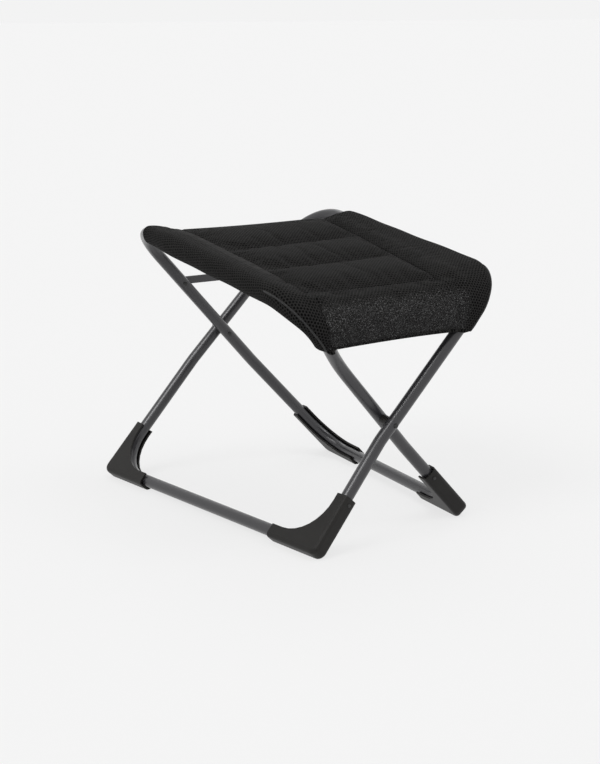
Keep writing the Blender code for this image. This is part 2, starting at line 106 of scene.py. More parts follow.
# Sewing: the radius of each thread, cord or tape, and how far it lies off the cloth
STITCH_PITCH = 0.0042
STITCH_R, HEM_R, RIM_R, BINDING_R = 0.00034, 0.0016, 0.0030, 0.0013
HEM_LIFT, RIM_SINK, BINDING_LIFT = 0.0004, 0.0022, 0.0002
BINDING_ROW = 25  # rows from the middle cross seam to the top of the corner binding

# The frame, the studio and the camera
TUBE_SIDES = 36
SURROUND = 0.896
FLOOR_SIZE, FLOOR_GREY, FLOOR_GLOW = 60.0, 0.13, 0.725
# Azimuth, elevation, half width in degrees, and added brightness of each soft box
SOFT_BOXES = ((-80, 48, 16, 6.5), (45, 60, 15, 3.5), (150, 50, 15, 2.0))
CAMERA_ANGLES = (-33.0, 13.44)
CAMERA_AT = (0.003075, 0.2078, 2.9747)  # to the right, up, and back, for a 22 mm tube
CAMERA_SCALE = 19 / 22  # from a 22 mm tube to this one
LENS, LENS_SHIFT = 75.77, 0.0074
EDGE_ROUNDING = {"cap_plastic": 0.0024, "fastener_black": 0.0004, "link_steel": 0.0005}


def smooth(value):
    value = np.clip(value, 0, 1)
    return value * value * (3 - 2 * value)


# ---------------------------------------------------------------- materials


class Nodes:
    """A short way to build one material's node tree."""

    def __init__(self, name, **sockets):
        self.material = bpy.data.materials.new(name)
        self.material.use_nodes = True
        self.tree = self.material.node_tree
        self.shader = self.tree.nodes["Principled BSDF"]
        for key, value in sockets.items():
            self.shader.inputs[key.replace("_", " ")].default_value = value

    def node(self, kind, settings=None, **inputs):
        made = self.tree.nodes.new(kind)
        for key, value in (settings or {}).items():
            setattr(made, key, value)
        for key, value in inputs.items():
            self.plug(value, made.inputs[key.replace("_", " ")])
        return made

    def plug(self, value, socket):
        if isinstance(value, bpy.types.NodeSocket):
            self.tree.links.new(value, socket)
        else:
            socket.default_value = value

    def math(self, operation, *values):
        made = self.tree.nodes.new("ShaderNodeMath")
        made.operation = operation
        for value, socket in zip(values, made.inputs):
            self.plug(value, socket)
        return made.outputs[0]

    def ramp(self, value, low, high, bottom=0.0, top=1.0):
        made = self.node("ShaderNodeMapRange", {"interpolation_type": "SMOOTHSTEP"})
        for socket, setting in zip(made.inputs, (value, low, high, bottom, top)):
            self.plug(setting, socket)
        return made.outputs[0]

    def noise(self, vector, scale, detail=2.0, roughness=0.5):
        made = self.node("ShaderNodeTexNoise", Vector=vector, Scale=scale, Detail=detail)
        made.inputs["Roughness"].default_value = roughness
        return made.outputs[0]

    def mix(self, factor, dark, light):
        made = self.node("ShaderNodeMix", {"data_type": "RGBA"})
        self.plug(factor, made.inputs[0])
        self.plug(dark, made.inputs[6])
        self.plug(light, made.inputs[7])
        return made.outputs[2]

    def bump(self, height, distance, strength=1.0, normal=None):
        made = self.node("ShaderNodeBump", Height=height, Strength=strength, Distance=distance)
        if normal is not None:
            self.plug(normal, made.inputs["Normal"])
        return made.outputs[0]

    def place(self):
        return self.node("ShaderNodeTexCoord").outputs["Object"]

    def cloth_place(self):
        return self.node("ShaderNodeUVMap", {"uv_map": "cloth"}).outputs["UV"]

    def set(self, **sockets):
        for key, value in sockets.items():
            self.plug(value, self.shader.inputs[key.replace("_", " ")])


def grey(value, warm=0.0):
    return (value * (1 + warm), value, value * (1 - warm), 1)


def cool(value):
    """Anthracite: a grey with a little violet-blue in it."""
    return (value, value * 0.97, value * 1.10, 1)


def painted_metal(name, level, roughness):
    """Powder coat: fine orange peel, faint handling marks, and paint rubbed thin on raised places."""
    n = Nodes(name, Metallic=0.25, Coat_Weight=0.5, Coat_Roughness=0.24)
    place = n.place()
    cloudy = n.noise(place, 9.0, 4.0)
    marks = n.ramp(n.noise(place, 60.0, 6.0, 0.7), 0.62, 0.75)
    speck = n.ramp(n.noise(place, 900.0, 1.0), 0.60, 0.72)
    body = n.mix(cloudy, cool(level * 0.86), cool(level * 1.16))
    body = n.mix(n.math("MULTIPLY", marks, 0.35), body, cool(level * 1.9))
    body = n.mix(n.math("MULTIPLY", speck, 0.30), body, cool(level * 1.7))
    n.set(Base_Color=body)
    n.set(Roughness=n.ramp(cloudy, 0.25, 0.75, roughness - 0.05, roughness + 0.07))
    n.set(Normal=n.bump(n.noise(place, 420.0, 2.0), 0.00002, 0.10))
    return n.material


def moulded_plastic():
    """Matte moulded polypropylene with a spark-eroded grain, scuffs and a dusty bloom."""
    n = Nodes("cap_plastic_grained", Specular_IOR_Level=0.20)
    place = n.place()
    cloudy = n.noise(place, 22.0, 5.0, 0.6)
    stretched = n.node("ShaderNodeMapping", Vector=place, Scale=(1.0, 5.0, 2.5)).outputs[0]
    scuffs = n.ramp(n.noise(stretched, 70.0, 8.0, 0.75), 0.60, 0.74)
    body = n.mix(cloudy, grey(0.0065, 0.08), grey(0.015, 0.07))
    body = n.mix(n.math("MULTIPLY", scuffs, 0.45), body, grey(0.034, 0.02))
    n.set(Base_Color=body, Roughness=n.ramp(scuffs, 0.0, 1.0, 0.46, 0.62))
    grain = n.bump(n.noise(place, 1500.0, 2.0), 0.00005, 0.6)
    n.set(Normal=n.bump(scuffs, 0.00008, 0.4, grain))
    return n.material


def blackened_steel():
    """Fasteners: black zinc with bare edges of tooling and fine turning marks."""
    n = Nodes("fastener_black_zinc", Metallic=0.7)
    place = n.place()
    cloudy = n.noise(place, 160.0, 5.0, 0.6)
    n.set(Base_Color=n.mix(cloudy, grey(0.020), grey(0.055)))
    n.set(Roughness=n.ramp(cloudy, 0.3, 0.7, 0.28, 0.45))
    n.set(Normal=n.bump(n.noise(place, 2200.0, 2.0), 0.00002, 0.6))
    return n.material


def hex_wave(n, place, pitch, turn):
    """Three crossed waves: 1 at the middle of each hole of a honeycomb, falling away round it."""
    rate = 4 * math.pi / (math.sqrt(3) * pitch)
    split = n.node("ShaderNodeSeparateXYZ", Vector=place)
    u, v = split.outputs[0], split.outputs[1]
    total = 0.0
    for k in range(3):
        angle = turn + math.pi / 2 + k * 2 * math.pi / 3
        along = n.math("MULTIPLY", u, rate * math.cos(angle))
        across = n.math("MULTIPLY", v, rate * math.sin(angle))
        total = n.math("ADD", total, n.math("COSINE", n.math("ADD", along, across)))
    return n.math("DIVIDE", total, 3.0)


def air_mesh(name, speckled):
    """Black spacer mesh: honeycomb holes painted near black as shade over the dark core, yarn fuzz, and
    a printed sparkle.
    """
    n = Nodes(name, Specular_IOR_Level=0.05, Sheen_Weight=0.012, Sheen_Roughness=0.45)
    cloth = n.cloth_place()
    drift = n.noise(cloth, 55.0, 2.0)
    jitter = n.node("ShaderNodeVectorMath", {"operation": "SCALE"})
    n.plug(n.node("ShaderNodeTexNoise", Vector=cloth, Scale=90.0).outputs[1], jitter.inputs[0])
    jitter.inputs[3].default_value = 0.0016
    moved = n.node("ShaderNodeVectorMath", {"operation": "ADD"})
    n.plug(cloth, moved.inputs[0])
    n.plug(jitter.outputs[0], moved.inputs[1])
    wave = hex_wave(n, moved.outputs[0], MESH_PITCH, math.radians(45))
    hole = n.ramp(wave, -0.20, 0.22)
    yarn = n.noise(cloth, 2600.0, 2.0, 0.6)
    thread = n.mix(n.ramp(yarn, 0.3, 0.7), grey(0.009, 0.03), grey(0.025, 0.03))
    thread = n.mix(n.math("MULTIPLY", n.ramp(drift, 0.35, 0.7), 0.35), thread, grey(0.014, 0.02))
    # A strip along the left bar, on the sleeve's inner web, is painted lighter and without holes:
    # painted light where that face catches the light from above.
    painted_light_strip = n.node("ShaderNodeAttribute", {"attribute_name": "painted_light_strip"}).outputs["Fac"]
    hole = n.math("MULTIPLY", hole, n.math("SUBTRACT", 1.0, painted_light_strip))
    thread = n.mix(painted_light_strip, thread, grey(0.020, 0.02))
    # The holes are painted near black: painted shade down in the holes, over the mesh's own black core.
    body = n.mix(hole, thread, grey(0.0001))
    height = n.math("SUBTRACT", n.math("MULTIPLY", yarn, 0.10), hole)
    n.set(Roughness=0.82)
    if speckled:
        # Small reflective flecks, thinning out towards the top and the sides of the panel.
        mask = n.node("ShaderNodeAttribute", {"attribute_name": "speckle"}).outputs["Fac"]
        cells = n.node("ShaderNodeTexVoronoi", {"voronoi_dimensions": "2D"})
        n.plug(cloth, cells.inputs["Vector"])
        cells.inputs["Scale"].default_value = 780.0
        inside = n.math("SUBTRACT", 1.0, n.ramp(cells.outputs["Distance"], 0.25, 0.50))
        split = n.node("ShaderNodeSeparateColor", Color=cells.outputs["Color"])
        pick, glint = split.outputs[0], split.outputs[1]
        # The further in from the edge of the print, the more of the cells hold a fleck.
        chosen = n.ramp(n.math("SUBTRACT", n.math("MULTIPLY", mask, 0.72), pick), -0.04, 0.04)
        fleck = n.math("MULTIPLY", inside, chosen)
        bright = n.mix(n.math("POWER", glint, 3.0), grey(0.022), grey(0.20))
        dull = n.math("MULTIPLY", n.math("MULTIPLY", hole, mask), 0.75)
        body = n.mix(dull, body, grey(0.009))
        body = n.mix(fleck, body, bright)
        n.set(Roughness=n.ramp(fleck, 0.0, 1.0, 0.82, 0.35))
        height = n.math("ADD", height, n.math("MULTIPLY", fleck, 0.5))
    n.set(Base_Color=body, Normal=n.bump(height, 0.0015, 0.9))
    return n.material


def woven(name, level, threads):
    """A plain weave: two crossed sets of threads, uneven in height and shade."""
    n = Nodes(name, Specular_IOR_Level=0.25, Sheen_Weight=0.08, Sheen_Roughness=0.5)
    cloth = n.cloth_place()
    split = n.node("ShaderNodeSeparateXYZ", Vector=cloth)
    warp = n.math("SINE", n.math("MULTIPLY", split.outputs[0], threads))
    weft = n.math("SINE", n.math("MULTIPLY", split.outputs[1], threads))
    weave = n.math("MULTIPLY", warp, weft)
    uneven = n.noise(cloth, 350.0, 3.0, 0.6)
    shade = n.ramp(n.math("ADD", weave, uneven), -0.6, 1.6)
    n.set(Base_Color=n.mix(shade, grey(level * 0.55), grey(level * 1.5)))
    n.set(Roughness=0.86, Normal=n.bump(weave, 0.00025, 0.6))
    return n.material


def thread():
    """Bonded sewing thread, laid in two plies."""
    n = Nodes("sewing_thread", Specular_IOR_Level=0.35, Sheen_Weight=0.1)
    place = n.place()
    fuzz = n.noise(place, 3000.0, 2.0)
    n.set(Base_Color=n.mix(fuzz, grey(0.016), grey(0.042)), Roughness=0.65)
    n.set(Normal=n.bump(fuzz, 0.0001, 0.5))
    return n.material


# ---------------------------------------------------------------- the seat's grid


def loop_corners(side):
    """A loop's corners as (x, y, bend radius) in its own plane, from the rear top forwards."""
    rear_foot, front_foot = FOOT_STATIONS[side]
    feet = []
    for station in (front_foot, rear_foot):
        drop = FOOT_AXIS_HEIGHT - PIVOT[2] + station * math.sin(AXIS_SLOPE)
        height = drop / (math.cos(AXIS_SLOPE) * math.cos(SPREAD))
        feet.append((station, height, LEG_BEND))
    return (
        (TOP_REAR[side], TOP_BAR, REAR_BEND),
        (TOP_FRONT[side], TOP_BAR, FRONT_BEND),
        *FRONT_KINKS[side],
        *feet,
        (*REAR_KINK[side], KINK_BEND),
    )


def rounded(corners, step):
    """Points of a closed path with round bends; the step is the turn between two points."""
    points = []
    for i, (x, y, radius) in enumerate(corners):
        here = np.array((x, y))
        back = np.array(corners[i - 1][:2]) - here
        ahead = np.array(corners[(i + 1) % len(corners)][:2]) - here
        back, ahead = back / np.linalg.norm(back), ahead / np.linalg.norm(ahead)
        half = math.acos(float(back @ ahead)) / 2
        centre = here + (back + ahead) / np.linalg.norm(back + ahead) * radius / math.sin(half)
        start = here + back * radius / math.tan(half) - centre
        stop = here + ahead * radius / math.tan(half) - centre
        turn = math.pi - 2 * half
        if start[0] * stop[1] - start[1] * stop[0] < 0:
            turn = -turn
        steps = max(2, math.ceil(abs(turn) / step))
        for k in range(steps + 1):
            c, s = math.cos(turn * k / steps), math.sin(turn * k / steps)
            points.append(centre + np.array((c * start[0] - s * start[1], s * start[0] + c * start[1])))
    return np.array(points)


def covered_line(side):
    """A top bar's centre line under the seat, from behind the seat's rear edge to below its front."""
    around = rounded(loop_corners(side), math.radians(2))
    first = int(np.argmax((around[:, 0] > 0) & (around[:, 1] > 0.2)))
    last = first + int(np.argmax(around[first:, 1] < 0.1)) + 1
    run = around[first:last]
    return np.array([(SEAT_REAR - 0.03, TOP_BAR), (SEAT_REAR, TOP_BAR), *run])


class Bar:
    """Places and directions along one top bar, by the seat's own distance."""

    def __init__(self, side):
        self.hand = -1 if side == "inner" else 1
        flat = covered_line(side)
        steps = np.linalg.norm(np.diff(flat, axis=0), axis=1)
        along = np.concatenate([[0], np.cumsum(steps)]) - steps[0]
        up = RISE * math.cos(SPREAD) + self.hand * np.array((math.sin(SPREAD), 0, 0))
        self.places = PIVOT + flat[:, :1] * AXIS + flat[:, 1:] * up
        self.along = along
        # Where the bar is down at the seat's lower edge, on the arc or just past it
        fine = np.linspace(STRAIGHT, along[-1], 2000)
        heights = np.interp(fine, along, flat[:, 1])
        self.stop = float(np.interp(-SEAT_DROP, -heights, fine))

    def distance(self, t):
        front = STRAIGHT + (t - STRAIGHT) * (self.stop - STRAIGHT) / (SEAT_LENGTH - STRAIGHT)
        return np.where(t <= STRAIGHT, t, front)

    def at(self, t):
        where = self.distance(t)
        return np.stack([np.interp(where, self.along, self.places[:, k]) for k in range(3)], -1)


BARS = (Bar("inner"), Bar("outer"))


def basis(t):
    """Middle point, across, up, half width and sleeve stretch at each distance."""
    left, right = (bar.at(t) for bar in BARS)
    step = 0.002
    tangents = [bar.at(t + step) - bar.at(t - step) for bar in BARS]
    tangents = [v / np.linalg.norm(v, axis=-1, keepdims=True) for v in tangents]
    across = right - left
    width = np.linalg.norm(across, axis=-1, keepdims=True)
    across = across / width
    mean = tangents[0] + tangents[1]
    up = np.cross(mean, across)
    up = up / np.linalg.norm(up, axis=-1, keepdims=True)
    lean = (tangents[1] * across).sum(-1)
    return (left + right) / 2, across, up, width[..., 0] / 2, 1 / np.sqrt(1 - lean**2)


def side_seam(t, shares, sides):
    """How far out the side seam is, on the side that each column belongs to."""
    left = np.interp(t, SIDE_SEAM_AT, SIDE_SEAM_LEFT)
    right = np.interp(t, SIDE_SEAM_AT, SIDE_SEAM_RIGHT)
    return np.where(sides + shares * (sides == 0) < 0, left, right)


class Grid:
    """The cloth's rows (rear to lower front edge) and columns (round the whole seat)."""

    ROWS = (32, 31, 28, 36)
    END_ROWS = 4
    CENTRE, WEB, ROUND, UNDER_WEB, UNDER = 56, 10, 13, 8, 20

    def __init__(self):
        side_kinds = (("web", self.WEB), ("round", self.ROUND), ("under_web", self.UNDER_WEB))
        columns = [("top", 0, -1 + 2 * k / self.CENTRE) for k in range(self.CENTRE)]
        columns += [(kind, 1, k / count) for kind, count in side_kinds for k in range(count)]
        columns += [("under", 0, 1 - 2 * k / self.UNDER) for k in range(self.UNDER)]
        for kind, count in side_kinds[::-1]:
            columns += [(kind, -1, 1 - k / count) for k in range(count)]
        self.kinds = np.array([c[0] for c in columns])
        self.sides = np.array([c[1] for c in columns], float)
        self.shares = np.array([c[2] for c in columns], float)
        self.rows = self.make_rows()

    def make_rows(self):
        """Each row: segment, share of the way through it, and how far round an end it is."""
        rows = [(0, 0.0, 1 - k / self.END_ROWS, -1) for k in range(self.END_ROWS)]
        for segment, count in enumerate(self.ROWS):
            rows += [(segment, k / count, 0.0, 0) for k in range(count)]
        rows.append((3, 1.0, 0.0, 0))
        rows += [(3, 1.0, (k + 1) / self.END_ROWS, 1) for k in range(self.END_ROWS)]
        return rows

    def across_share(self):
        """How far across each column is, from -1 at the left bar to 1 at the right one."""
        seam = SEAM_SHARE
        place = np.where(self.kinds == "top", self.shares * seam, 0.0)
        place = np.where(self.kinds == "under", self.shares * seam, place)
        web = seam + (1 - seam) * self.shares
        place = np.where(self.kinds == "web", self.sides * web, place)
        under_web = 1 - (1 - seam) * self.shares
        place = np.where(self.kinds == "under_web", self.sides * under_web, place)
        return np.where(self.kinds == "round", self.sides, place)

    def knots(self, across):
        """Distances of the rear edge, the three cross seams and the lower edge, per column."""
        inner = np.clip(across / SEAM_SHARE, -1, 1)
        rear = 0.0005 + 0.017 * smooth((across - 0.6) / 0.4) - 0.004 * smooth((-across - 0.8) / 0.2)
        seams = [at - skew * inner for at, skew in zip(SEAMS, SEAM_SKEW)]
        lower = SEAT_LENGTH - 0.0035 * (1 - across**2)
        return [rear, *seams, lower]


def cloth_points(grid):
    """Every point of the cloth, with its place in the weave: rows by columns."""
    across = grid.across_share()
    knots = grid.knots(across)
    kinds, sides, shares = grid.kinds, grid.sides, grid.shares
    points, weave = [], []
    for segment, share, end, towards in grid.rows:
        t = knots[segment] + (knots[segment + 1] - knots[segment]) * share
        t = t + towards * EDGE_TURN * math.sin(end * math.pi / 2)
        middle, sideways, up, half, stretch = basis(t)
        seam = side_seam(t, shares, sides)
        front = smooth((t - knots[3]) / 0.026) if segment == 3 else np.zeros_like(t)
        seam_height = 0.0005 + 0.0125 * front
        # Padding between the seams
        span = 1 - np.abs(2 * share - 1) ** 2.6 if segment < 3 else 0.0
        fall = 1 - np.abs(shares) ** 7
        dish = -0.0022 * (1 - shares**2) * (1 - 0.4 * front)
        top_x = shares * seam
        top_d = seam_height + dish + PAD_RISE * span * fall
        # From the side seam up onto the sleeve
        web_x = sides * (seam + (half - seam) * shares)
        rise = 1 - (1 - shares) ** 1.7
        snug = np.where(sides < 0, 0.0042 * (1 - smooth(t / 0.075)), 0.0012 * (1 - smooth(t / 0.03)))
        radius = SLEEVE_R - snug
        web_d = seam_height + (radius - seam_height) * rise
        angle = math.pi / 2 - math.pi * shares
        round_x = sides * (half + radius * np.cos(angle) * stretch)
        round_d = np.where(np.sin(angle) < 0, SLEEVE_R * SLEEVE_SAG, radius) * np.sin(angle)
        low = -SLEEVE_R * SLEEVE_SAG
        under_web_x = sides * (half - (half - seam) * shares)
        under_web_d = low + (UNDERSIDE - low) * smooth(shares)
        x = np.where(kinds == "top", top_x, 0.0)
        d = np.where(kinds == "top", top_d, UNDERSIDE)
        for kind, kind_x, kind_d in (
            ("web", web_x, web_d),
            ("round", round_x, round_d),
            ("under_web", under_web_x, under_web_d),
            ("under", shares * seam, np.full_like(t, UNDERSIDE)),
        ):
            x = np.where(kinds == kind, kind_x, x)
            d = np.where(kinds == kind, kind_d, d)
        if end:
            core_x, core_d = core_line(kinds, sides, shares, seam, half, stretch)
            keep = math.cos(end * math.pi / 2)
            x = core_x + (x - core_x) * keep
            d = core_d + (d - core_d) * keep
        row = middle + sideways * x[:, None] + up * d[:, None]
        points.append(row)
        centre = grid.CENTRE // 2
        steps = np.linalg.norm(np.diff(row, axis=0), axis=1)
        run = np.concatenate([[0], np.cumsum(steps)])
        u = run - run[centre]
        whole = run[-1] + np.linalg.norm(row[0] - row[-1])
        weave.append(np.stack([u - whole * (sides < 0), -t], -1))
    return np.array(points), np.array(weave)


def core_line(kinds, sides, shares, seam, half, stretch):
    """Where the cloth's edge closes: flat in the middle, and hugging each tube."""
    ring = TUBE_R + 0.0004
    x = shares * seam
    d = np.full_like(shares, EDGE_D)
    for kind, reach in (("web", shares), ("under_web", 1 - shares)):
        sign = 1 if kind == "web" else -1
        inward = np.clip(reach / 0.5, 0, 1)
        turn = math.pi - np.clip((reach - 0.5) / 0.5, 0, 1) * math.pi / 2
        edge = half - ring * stretch
        kind_x = np.where(reach < 0.5, seam + (edge - seam) * inward, half)
        kind_x = np.where(reach < 0.5, kind_x, half + ring * stretch * np.cos(turn))
        kind_d = np.where(reach < 0.5, EDGE_D * (1 - inward), sign * ring * np.sin(turn))
        x = np.where(kinds == kind, sides * kind_x, x)
        d = np.where(kinds == kind, kind_d, d)
    angle = math.pi / 2 - math.pi * shares
    round_x = sides * (half + ring * stretch * np.cos(angle))
    x = np.where(kinds == "round", round_x, x)
    return x, np.where(kinds == "round", ring * np.sin(angle), d)


def grid_faces(rows, columns):
    """Quads of a grid whose columns close on themselves."""
    faces = []
    for i in range(rows - 1):
        for j in range(columns):
            k = (j + 1) % columns
            here, ahead = i * columns, (i + 1) * columns
            faces.append((here + j, ahead + j, ahead + k, here + k))
    return faces


def mesh_object(name, points, faces):
    mesh = bpy.data.meshes.new(name)
    mesh.from_pydata([tuple(p) for p in points], [], faces)
    mesh.update()
    made = bpy.data.objects.new(name, mesh)
    bpy.context.collection.objects.link(made)
    return made


def held_points(grid):
    """1 where the cloth is sewn down or wrapped round a tube, 0 where padding can swell it."""
    held = np.ones((len(grid.rows), len(grid.kinds)))
    inside = (grid.kinds == "top") & (np.abs(grid.shares) < 0.999)
    web = (grid.kinds == "web") & (grid.shares > 0.01)
    for i, (segment, share, end, _towards) in enumerate(grid.rows):
        if end:
            continue
        sewn = share in (0.0, 1.0)
        if not sewn:
            held[i, inside] = 0.0
        if segment == 3 and not sewn:
            held[i, grid.kinds == "top"] = 0.0
        near = np.clip(grid.shares, 0, 1)
        held[i, web] = (near * near)[web]
    return held


def simulate(points, faces, held):
    """Cloth under slight pressure, held at its seams; no point moves further than the cap."""
    body = mesh_object("cloth_in_simulation", points.reshape(-1, 3), faces)
    group = body.vertex_groups.new(name="held")
    for index, weight in enumerate(held.reshape(-1)):
        group.add([index], float(weight), "REPLACE")
    cloth = body.modifiers.new("cloth", "CLOTH")
    settings = cloth.settings
    settings.quality = 6
    settings.mass = 0.3
    settings.tension_stiffness = 12
    settings.compression_stiffness = 12
    settings.shear_stiffness = 4
    settings.bending_stiffness = 0.4
    settings.shrink_min = -0.035
    settings.use_pressure = True
    settings.uniform_pressure_force = PRESSURE
    settings.vertex_group_mass = "held"
    settings.effector_weights.gravity = 0
    cloth.collision_settings.use_collision = False
    cloth.point_cache.frame_start = 1
    cloth.point_cache.frame_end = FRAMES
    scene = bpy.context.scene
    for number in range(1, FRAMES + 1):
        scene.frame_set(number)
    evaluated = body.evaluated_get(bpy.context.evaluated_depsgraph_get())
    moved = np.array([v.co for v in evaluated.data.vertices]).reshape(points.shape)
    scene.frame_set(1)
    bpy.data.objects.remove(body, do_unlink=True)
    shift = moved - points
    length = np.linalg.norm(shift, axis=-1, keepdims=True)
    return points + shift * (SWELL_CAP * np.tanh(length / SWELL_CAP) / np.maximum(length, 1e-9))


def normals_of(points):
    """Outward normals of the grid, by its own differences."""
    along = np.gradient(points, axis=0)
    across = np.roll(points, -1, axis=1) - np.roll(points, 1, axis=1)
    normal = np.cross(along, across)
    return normal / np.maximum(np.linalg.norm(normal, axis=-1, keepdims=True), 1e-12)


def pucker(grid, points):
    """Small gathers that run out from the sewn lines, as thread pulls thick mesh together."""
    normal = normals_of(points)
    height = np.zeros(points.shape[:2])
    columns = np.arange(len(grid.kinds))
    top = grid.kinds == "top"
    for i, (segment, share, end, _towards) in enumerate(grid.rows):
        if end:
            continue
        near = min(share, 1 - share if segment < 3 else 1.0) * GATHER_SPANS[segment]
        x = grid.shares * HALF_SEAT
        wave = np.sin(x * 430 + 2.1 * np.sin(x * 61 + segment * 1.7) + segment)
        swell = 0.00042 * wave * math.exp(-near / 0.0055) * (near > 0)
        height[i] += np.where(top, swell * (1 - np.abs(grid.shares) ** 6), 0)
        t = (segment + share) * 0.12
        edge = (1 - np.abs(grid.shares)) * HALF_SEAT
        ripple = np.sin(t * 470 + 1.9 * np.sin(t * 55) + (grid.shares > 0))
        side = 0.00040 * ripple * np.exp(-edge / 0.0050) * (edge > 0)
        height[i] += np.where(top & (segment < 3), side, 0)
        web = (grid.kinds == "web") & (grid.shares > 0)
        pull = 0.00050 * ripple * np.exp(-grid.shares * 0.05 / 0.010)
        height[i] += np.where(web & (segment < 3), pull, 0)
        # Slow waves along the sleeves, where the padding has settled round the bars
        rolled = 0.0007 * np.sin(t * 41 + columns * 0.09) * np.sin(t * 17 + 0.8)
        height[i] += np.where(grid.kinds == "round", rolled, 0)
    return points + normal * height[..., None]


def piece_from(name, points, weave, cells, material, masks=None, thickness=CLOTH):
    """A closed piece of cloth from some of the grid's cells, one subdivision finer."""
    rows, columns = points.shape[:2]
    used = {}
    faces = []
    order = []
    for i, j in cells:
        face = []
        for a, b in ((i, j), (i + 1, j), (i + 1, j + 1), (i, j + 1)):
            key = (a, b % columns)
            if key not in used:
                used[key] = len(order)
                order.append(key)
            face.append(used[key])
        faces.append(tuple(face))
    chosen = np.array([points[a, b] for a, b in order])
    made = mesh_object(name, chosen, faces)
    mesh = made.data
    layer = mesh.uv_layers.new(name="cloth")
    wrap = {key: weave[key] for key in order}
    for polygon in mesh.polygons:
        spots = [wrap[order[v]] for v in polygon.vertices]
        for loop, spot in zip(polygon.loop_indices, spots):
            layer.data[loop].uv = spot
    for label, mask in (masks or {}).items():
        layer = mesh.attributes.new(label, "FLOAT", "POINT")
        layer.data.foreach_set("value", np.array([mask[k] for k in order], np.float32))
    mesh.materials.append(material)
    fine = made.modifiers.new("fine", "SUBSURF")
    fine.levels = fine.render_levels = 1
    fine.boundary_smooth = "PRESERVE_CORNERS"
    thick = made.modifiers.new("thick", "SOLIDIFY")
    thick.thickness = thickness
    thick.offset = -1
    thick.use_rim = True
    settle(made)
    return made


def settle(made):
    """Turns an object's modifiers into its mesh."""
    graph = bpy.context.evaluated_depsgraph_get()
    mesh = bpy.data.meshes.new_from_object(made.evaluated_get(graph))
    made.modifiers.clear()
    old = made.data
    made.data = mesh
    bpy.data.meshes.remove(old)
    mesh.name = made.name
    mesh.shade_smooth()


def folds_with_seat(made):
    """Bakes a cloth piece's placement into its mesh."""
    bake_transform(made)
    return made


def tube_along(path, radius, sides):
    """Points and faces of a round cord along a path."""
    path = np.asarray(path)
    tangent = np.gradient(path, axis=0)
    tangent /= np.linalg.norm(tangent, axis=1, keepdims=True)
    guide = np.array((0.0, 0.0, 1.0))
    side = np.cross(tangent, guide)
    side /= np.maximum(np.linalg.norm(side, axis=1, keepdims=True), 1e-9)
    up = np.cross(side, tangent)
    points, faces = [], []
    taper = np.ones(len(path))
    taper[0] = taper[-1] = 0.45
    for k, centre in enumerate(path):
        for m in range(sides):
            angle = 2 * math.pi * m / sides
            offset = side[k] * math.cos(angle) + up[k] * math.sin(angle)
            points.append(centre + offset * radius * taper[k])
    for k in range(len(path) - 1):
        for m in range(sides):
            n = (m + 1) % sides
            faces.append((k * sides + m, k * sides + n, (k + 1) * sides + n, (k + 1) * sides + m))
    faces.append(tuple(range(sides - 1, -1, -1)))
    last = (len(path) - 1) * sides
    faces.append(tuple(range(last, last + sides)))
    return points, faces


def cord_piece(name, paths, radius, material, sides):
    """One object of round cords, with weave coordinates along them."""
    points, faces = [], []
    for path in paths:
        more, rings = tube_along(path, radius, sides)
        faces += [tuple(len(points) + v for v in face) for face in rings]
        points += more
    made = mesh_object(name, points, faces)
    mesh = made.data
    layer = mesh.uv_layers.new(name="cloth")
    for polygon in mesh.polygons:
        for loop in polygon.loop_indices:
            vertex = mesh.loops[loop].vertex_index
            spot = mesh.vertices[vertex].co
            layer.data[loop].uv = (spot.x + spot.z * 0.3, spot.y)
    mesh.materials.append(material)
    mesh.shade_smooth()
    return made


def stitches(name, lines, material):
    """Rows of short sunk stitches along lines of points, each a small closed bead of thread."""
    runs = []
    for line, normal in lines:
        steps = np.linalg.norm(np.diff(line, axis=0), axis=1)
        along = np.concatenate([[0], np.cumsum(steps)])
        count = int(along[-1] / STITCH_PITCH)
        for k in range(count):
            spots = (k + np.array((0.12, 0.30, 0.50, 0.70, 0.88))) * STITCH_PITCH
            path = np.stack([np.interp(spots, along, line[:, a]) for a in range(3)], -1)
            up = np.stack([np.interp(spots, along, normal[:, a]) for a in range(3)], -1)
            lift = np.array((-0.00045, 0.00005, 0.00020, 0.00005, -0.00045))
            runs.append(path + up * lift[:, None])
    return cord_piece(name, runs, STITCH_R, material, 6)


# ---------------------------------------------------------------- building


